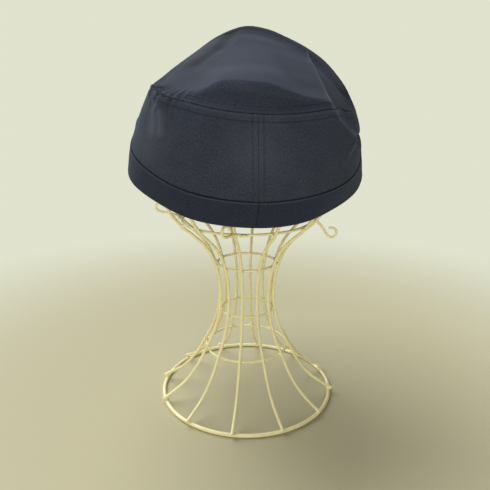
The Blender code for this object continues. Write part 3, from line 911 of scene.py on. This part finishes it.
def makePeak():
    across = np.linspace(-1, 1, peak["columns"])[None, :]
    shares = np.linspace(0, 1, peak["rows"])[:, None]
    points = peakPoints(across, shares)
    toEdge = distancesUp(points)
    toEdge = toEdge[-1] - toEdge
    normals = -normalsOf(points, closed=False)
    normals *= np.sign(normals[..., 2:3])
    relief = peak["sag"] * waves(points, *peak["sagWaves"])
    for distance in peak["stitchRows"]:
        relief = relief - peak["stitchDip"] * bump(toEdge - distance, peak["stitchWidth"])
    points = points + normals * relief[..., None]
    wearAndHighlight = rowAt(toEdge, peak["wornEdge"])
    obj = gridObject("peakCloth", points, points[..., :2], crownTwill, wearAndHighlight, closed=False)
    if obj.data.polygons[0].normal.z < 0:  # the upper face looks up, so the thickness goes down
        obj.data.flip_normals()
    return finishCloth(obj, peak)


peakCloth = makePeak()


print("Stand")

# metres and degrees, with the rings' sizes read from the solids
stand = {
    "ribCount": 12, "ribPhase": 8.4, "sides": 6, "gap": 0.0003,
    "ribWire": 0.0024, "ringWire": 0.002, "baseWire": 0.003, "hookWire": 0.002,
    "baseRadius": 0.0715, "stemHeight": 0.152, "footSlope": 28, "footOverhang": 0.0012,
    # a rib's middle line, out and up as shares of baseRadius and stemHeight
    "ribRows": [
        (0.908, 0.058), (0.76, 0.108), (0.618, 0.187), (0.508, 0.279), (0.4, 0.38), (0.333, 0.491),
        (0.317, 0.615), (0.367, 0.747), (0.475, 0.855), (0.625, 0.929), (0.745, 0.98),
    ],
    # the round form under the cap, and the ribs' tilts over it
    "formRadius": 0.066, "formMiddle": 0.207, "shoulderRise": 0.016,
    "formTilts": [90, 73, 58, 43, 27, 12, 8],
    "hookSize": 0.0192, "hookAside": 4.5, "hookLap": 0.004,
    # a hook's middle line, out and up as shares of hookSize
    "hookRows": [
        (0, 0), (0.12, -0.08), (0.38, -0.42), (0.56, -0.7), (0.7, -0.78), (0.83, -0.74),
        (0.91, -0.6), (0.87, -0.46), (0.74, -0.38), (0.6, -0.38),
    ],
    # each hook's rib, its swing sideways and how far it is bent up
    "hooks": [("hook_1", 0, 35, 60), ("hook_2", 3, 0, 68), ("hook_3", 6, 0, 30), ("hook_4", 9, 0, 3)],
    "rings": ["base", "lower", "waist", "neck", "flare", "form", "top"],
    "ringPoints": 96, "beadSize": 0.0016, "beadShape": (0.95, 0.75, 0.75),
}


def ribPath():
    # a rib's points, out and up: over the base ring, up the stem and round the form
    corner = stand["baseWire"] / 2 / cos(pi / stand["sides"])
    slope = radians(stand["footSlope"])
    off = corner + stand["gap"] + stand["ribWire"] / 2
    overBase = Vector((stand["baseRadius"], stand["baseWire"] / 2))
    overBase += off * Vector((sin(slope), cos(slope)))
    path = [overBase + stand["footOverhang"] * Vector((cos(slope), -sin(slope))), overBase]
    for out, up in stand["ribRows"]:
        path.append(Vector((out * stand["baseRadius"], up * stand["stemHeight"])))
    bend = stand["formRadius"] - stand["ribWire"] / 2
    path.append(Vector((bend, stand["stemHeight"] + stand["shoulderRise"])))
    for tilt in stand["formTilts"]:
        tilt = radians(tilt)
        path.append(Vector((bend * sin(tilt), stand["formMiddle"] + bend * cos(tilt))))
    return path


def newWire(name, wire, material, smoothness=4):
    curve = bpy.data.curves.new(name, "CURVE")
    curve.dimensions = "3D"
    curve.bevel_depth = wire / 2
    curve.bevel_resolution = smoothness
    curve.materials.append(material)
    return curve


def wireCurve(name, points, wire):
    # a bent wire with closed ends through these points
    curve = newWire(name, wire, creamCoating)
    curve.use_fill_caps = True
    curve.resolution_u = 8
    spline = curve.splines.new("BEZIER")
    spline.bezier_points.add(len(points) - 1)
    for knot, point in zip(spline.bezier_points, points):
        knot.co = point
        knot.handle_left_type = knot.handle_right_type = "AUTO"
    return curve


def ringCurve(name, radius, height, wire):
    curve = newWire(name, wire, creamCoating)
    spline = curve.splines.new("POLY")
    spline.points.add(stand["ringPoints"] - 1)
    for k, knot in enumerate(spline.points):
        angle = 2 * pi * k / stand["ringPoints"]
        knot.co = (radius * cos(angle), radius * sin(angle), height, 1)
    spline.use_cyclic_u = True
    return curve


def finishWire(obj, node=None):
    # moved over the base ring's middle, in the place of its solid if it has one
    obj.location += Vector((standMiddle.x, standMiddle.y, 0))
    if node:
        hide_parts(node)
    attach(obj, "root")


def ringLine(node):
    # a ring's radius, height and wire, read from its solid
    low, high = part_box(node)
    wire = high.z - low.z
    corner = wire / 2 / cos(pi / stand["sides"])
    return (high.x - low.x) / 2 - corner, (low.z + high.z) / 2, wire


def ribTurn(rib):
    return stand["ribPhase"] + 360 * rib / stand["ribCount"]


def makeStand():
    path = ribPath()
    rib = wireCurve("ribWire", [(0, p.x, p.y) for p in path], stand["ribWire"])
    for i in range(stand["ribCount"]):
        obj = linkNew(f"ribWire_{i + 1:02d}", rib.copy())
        obj.rotation_euler.z = -radians(ribTurn(i))
        finishWire(obj, f"rib_{i + 1:02d}")

    for name in stand["rings"]:
        node = name + "_ring"
        finishWire(linkNew(name + "RingWire", ringCurve(node, *ringLine(node))), node)
    makeHooks()
    makeBeads(path)


def makeHooks():
    # each hook is lapped along the flare ring and hangs out from it
    radius, height = ringLine("flare_ring")[:2]
    radius += stand["ringWire"] / 2 / cos(pi / stand["sides"]) + stand["gap"] + stand["hookWire"] / 2
    for name, rib, swing, bend in stand["hooks"]:
        bent = Matrix.Rotation(-radians(swing), 3, "Z") @ Matrix.Rotation(radians(bend), 3, "X")
        points = [Vector((-stand["hookLap"], 0, 0))]
        points += [bent @ Vector((0, out, up)) * stand["hookSize"] for out, up in stand["hookRows"]]
        turn = radians(ribTurn(rib) - stand["hookAside"])
        obj = linkNew(name.replace("_", "Wire_"), wireCurve(name, points, stand["hookWire"]))
        obj.location = (radius * sin(turn), radius * cos(turn), height)
        obj.rotation_euler.z = -turn
        finishWire(obj, name)


def makeBeads(path):
    # a lump of solder under the coating wherever a rib crosses a ring
    beads = bmesh.new()
    shape = Matrix.Diagonal((*(stand["beadSize"] * part for part in stand["beadShape"]), 1))
    for name in stand["rings"]:
        radius, height = ringLine(name + "_ring")[:2]
        near = min(path, key=lambda p: (p.x - radius) ** 2 + (p.y - height) ** 2)
        middle = Vector(((near.x + radius) / 2, (near.y + height) / 2))
        for i in range(stand["ribCount"]):
            turn = radians(ribTurn(i))
            place = Matrix.Translation((middle.x * sin(turn), middle.x * cos(turn), middle.y))
            place = place @ Matrix.Rotation(-turn, 4, "Z") @ shape
            bmesh.ops.create_icosphere(beads, subdivisions=2, radius=1.0, matrix=place)
    mesh = bpy.data.meshes.new("solderBeads")
    beads.to_mesh(mesh)
    beads.free()
    mesh.materials.append(creamCoating)
    mesh.shade_smooth()
    finishWire(linkNew("solderBeads", mesh))


makeStand()


print("Stitches")

stitches = {
    "length": 0.0023, "gap": 0.0007, "thread": 0.00016, "sink": 0.00016,
    # a stitch's points, as shares of its length and of the thread's radius
    "places": (0, 0.2, 0.8, 1), "lifts": (-1.6, 0.5, 0.5, -1.6),
    "panelShare": 0.75,  # the panel rises steeply here, so its row is nearer in plan
    "backFrom": 0.03, "backTo": 0.9,  # the rows down the back, as shares of the wall's height
    "roundPoints": 721, "backPoints": 60,
}


def surfaceLine(makePoints, turns, shares):
    # points and normals along a line on one of the cloth surfaces
    smallTurn, smallShare = 0.01, 1e-4
    acrossTurn = makePoints(turns + smallTurn, shares) - makePoints(turns - smallTurn, shares)
    acrossShare = makePoints(turns, shares + smallShare) - makePoints(turns, shares - smallShare)
    normals = np.cross(acrossShare, acrossTurn)
    return makePoints(turns, shares), normals / lengthsOf(normals, True)


def sewRow(curve, makePoints, turns, shares):
    # a row of stitches along a line, each dipping into the cloth at its two ends
    points, normals = surfaceLine(makePoints, turns, shares)
    points = points + normals * (topSeam["height"] - topSeam["stitchDip"])
    along = distancesUp(points)
    pitch = stitches["length"] + stitches["gap"]
    lift = stitches["thread"] * np.array(stitches["lifts"]) - stitches["sink"]
    for i in range(int(along[-1] / pitch)):
        places = i * pitch + stitches["length"] * np.array(stitches["places"])
        line, up = (
            np.stack([np.interp(places, along, values[:, k]) for k in range(3)], axis=-1)
            for values in (points, normals)
        )
        spline = curve.splines.new("POLY")
        spline.points.add(len(lift) - 1)
        for knot, point in zip(spline.points, line + up * lift[:, None]):
            knot.co = (*point, 1)


def makeStitches():
    curve = newWire("stitches", 2 * stitches["thread"], sewingThread, 1)
    turns = np.linspace(0, 360, stitches["roundPoints"])
    rim = rimPoints(turns)
    onWall = topSeam["stitchFrom"] / lengthsOf(rim - seamPoints(turns))
    sewRow(curve, wallPoints, turns, 1 - onWall)
    onPanel = topSeam["stitchFrom"] * stitches["panelShare"] / lengthsOf(rim[:, :2])
    sewRow(curve, panelPoints, turns, onPanel)

    shares = np.linspace(stitches["backFrom"], stitches["backTo"], stitches["backPoints"])
    radius = lengthsOf(wallPoints(0, shares)[:, :2])
    for side in (-1, 1):  # the two rows down the centre back
        aside = np.degrees(side * backSeam["stitchFrom"] / radius)
        sewRow(curve, wallPoints, aside + np.interp(shares, (0, 1), sideWall["backLean"]), shares)

    obj = placeOnCap(linkNew("capStitches", curve))
    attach(obj, "root")


makeStitches()

for piece, node, slotName in (
    (sideWallCloth, "crown_side", "navy_twill"), (topPanelCloth, "crown_top", "navy_twill"),
    (headbandCloth, "band", "band_twill"), (peakCloth, "peak", "navy_twill"),
):
    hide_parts(node)
    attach(piece, "root")


print("Floor and lights")

studio = {
    "floor": (0.483, 0.428, 0.25), "roughness": 0.8, "floorHalf": 3, "fadeFrom": 0.16, "fadeTo": 0.55,
    "wall": (0.75, 0.765, 0.615), "fill": (0.9, 0.93, 0.94), "fillStrength": 0.2134,
    "overhead": {
        "strength": 3.92, "colour": (0.87, 0.92, 1), "spread": 60,
        "place": (0.42, -0.45, 0.78), "towards": (0, 0, 0),
    },
    "front": {
        "strength": 19.9, "colour": (1, 0.985, 0.95), "size": 1,
        "place": (0.15, 2.2, 0.52), "towards": (0, 0, 0.22),
    },
}


def mixShaders(nodes, links, sources, end):
    # the factor first, then the two shaders
    mixed = nodes.new("ShaderNodeMixShader")
    for source, socket in zip(sources, mixed.inputs):
        links.new(source, socket)
    links.new(mixed.outputs["Shader"], nodes[end].inputs["Surface"])


def makeFloor():
    # the pale floor, which melts into the pale wall far away
    material, nodes, links, shader = newMaterial("paleFloor")
    setInputs(shader, {"Base Color": (*studio["floor"], 1), "Roughness": studio["roughness"]})
    distance = nodes.new("ShaderNodeVectorMath")
    distance.operation = "LENGTH"
    links.new(nodes.new("ShaderNodeTexCoord").outputs["Object"], distance.inputs[0])
    far = addNode(nodes, "MapRange", {"From Min": studio["fadeFrom"], "From Max": studio["fadeTo"]})
    far.interpolation_type = "SMOOTHSTEP"
    links.new(distance.outputs["Value"], far.inputs["Value"])
    wall = addNode(nodes, "Emission", {"Color": (*studio["wall"], 1)})
    sources = far.outputs["Result"], shader.outputs["BSDF"], wall.outputs["Emission"]
    mixShaders(nodes, links, sources, "Material Output")
    mesh = bpy.data.meshes.new("floor")
    half = studio["floorHalf"]
    corners = [(-half, -half, 0), (half, -half, 0), (half, half, 0), (-half, half, 0)]
    mesh.from_pydata(corners, [], [(0, 1, 2, 3)])
    mesh.materials.append(material)
    linkNew("floor", mesh)


def makeWorld():
    # the pale wall that is seen, and the softer room light that falls on the cap
    world = bpy.data.worlds.new("paleRoom")
    scene.world = world
    world.use_nodes = True
    nodes, links = world.node_tree.nodes, world.node_tree.links
    seen = setInputs(nodes["Background"], {"Color": (*studio["wall"], 1)})
    colour = {"Color": (*studio["fill"], 1), "Strength": studio["fillStrength"]}
    light = addNode(nodes, "Background", colour)
    choice = nodes.new("ShaderNodeLightPath").outputs["Is Camera Ray"]
    sources = choice, light.outputs["Background"], seen.outputs["Background"]
    mixShaders(nodes, links, sources, "World Output")


def addLight(name, kind, settings):
    light = bpy.data.lights.new(name, kind)
    light.energy = settings["strength"]
    light.color = settings["colour"]
    obj = linkNew(name, light)
    obj.location = settings["place"]
    away = Vector(settings["towards"]) - obj.location
    obj.rotation_euler = away.to_track_quat("-Z", "Y").to_euler()
    return obj


makeFloor()
makeWorld()
overhead = addLight("overheadLight", "SUN", studio["overhead"])  # the same over the whole floor
overhead.data.angle = radians(studio["overhead"]["spread"])
front = addLight("frontLight", "AREA", studio["front"])
front.data.size = studio["front"]["size"]
front.visible_camera = False
scene.view_settings.view_transform = "Standard"

bpy.context.view_layer.update()
print("Done")
